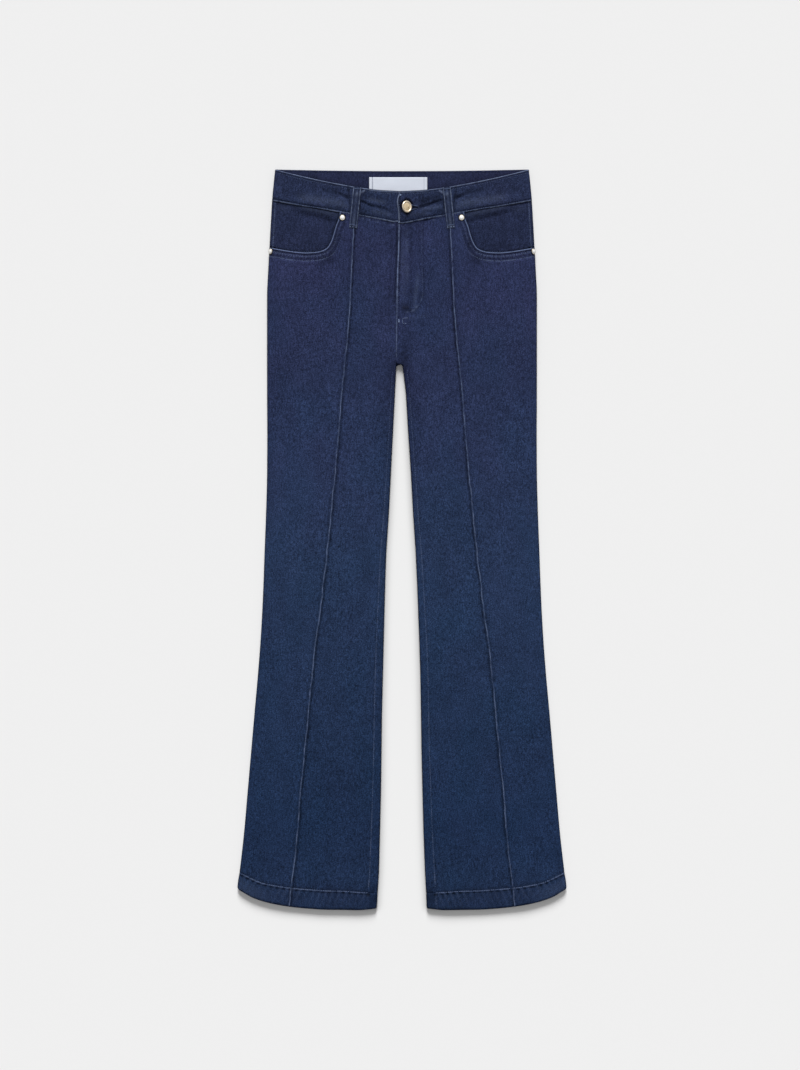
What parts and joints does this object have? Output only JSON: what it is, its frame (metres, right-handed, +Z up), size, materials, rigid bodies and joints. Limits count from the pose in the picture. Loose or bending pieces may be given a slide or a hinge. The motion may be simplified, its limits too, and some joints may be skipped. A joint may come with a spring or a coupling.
{
  "type": "flared jeans",
  "caption": "Women's flared denim jeans laid flat, front upwards, with a raised seam down each front leg, scooped front pockets, belt loops and a button waistband.",
  "frame": {"origin": "on the table, under the middle of the garment's box", "axes": "+X towards the wearer's left, +Y from the hems up to the waist, +Z up from the table through the back layer to the front layer"},
  "size_m": [0.4804, 1.0818, 0.0216],
  "materials": {
    "denim": "dark blue denim, fine twill",
    "denim_dark": "dark blue denim, shaded",
    "denim_band": "dark blue denim, worn at the edges",
    "woven_label": "satin weave, bare",
    "gold_metal": "pale gold, polished"
  },
  "bodies": {
    "root": {"front_outer_right": "denim", "front_outer_left": "denim", "front_inner_right": "denim", "front_inner_left": "denim", "pocket_facing_right": "denim_dark", "pocket_facing_left": "denim_dark", "fly_facing": "denim_dark", "waistband_front_right": "denim_band", "waistband_front_left": "denim_band", "waistband_back": "denim_band", "back_right": "denim", "back_left": "denim", "yoke_right": "denim", "yoke_left": "denim", "back_pocket_right": "denim", "back_pocket_left": "denim", "loop_front_right": "denim_band", "loop_front_left": "denim_band", "loop_back_right": "denim_band", "loop_back_left": "denim_band", "loop_back_centre": "denim_band", "label": "woven_label", "button": "gold_metal", "rivet_top_right": "gold_metal", "rivet_top_left": "gold_metal", "rivet_side_right": "gold_metal", "rivet_side_left": "gold_metal"}
  },
  "joints": []
}
